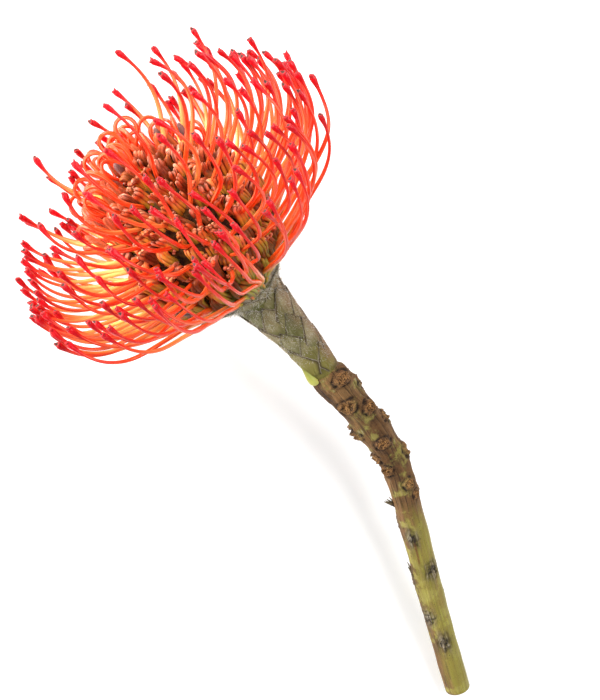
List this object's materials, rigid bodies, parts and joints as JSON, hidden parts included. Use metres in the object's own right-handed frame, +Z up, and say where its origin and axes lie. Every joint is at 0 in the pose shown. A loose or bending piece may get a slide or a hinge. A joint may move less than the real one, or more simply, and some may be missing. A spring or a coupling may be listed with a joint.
{
  "type": "pincushion protea flower",
  "caption": "A cut pincushion protea flower lying down: a dome of florets with long curved orange-red styles, a neck clad in bracts and a knobbly woody stem.",
  "frame": {"origin": "on the surface that the flower lies on, under the middle of its bounding box", "axes": "+X along the stem towards the flower head, +Y across the stem, to the left of +X seen from above, +Z up"},
  "size_m": [0.2656, 0.1092, 0.1078],
  "materials": {
    "woody_stem": "dull green and brown bark with round leaf scars",
    "bract_neck": "grey-green downy bracts with purplish edges",
    "flower_head": "waxy coral-red styles over orange-brown florets"
  },
  "bodies": {
    "root": {"woody_stem": "woody_stem", "bract_neck": "bract_neck", "flower_head": "flower_head"}
  },
  "joints": []
}
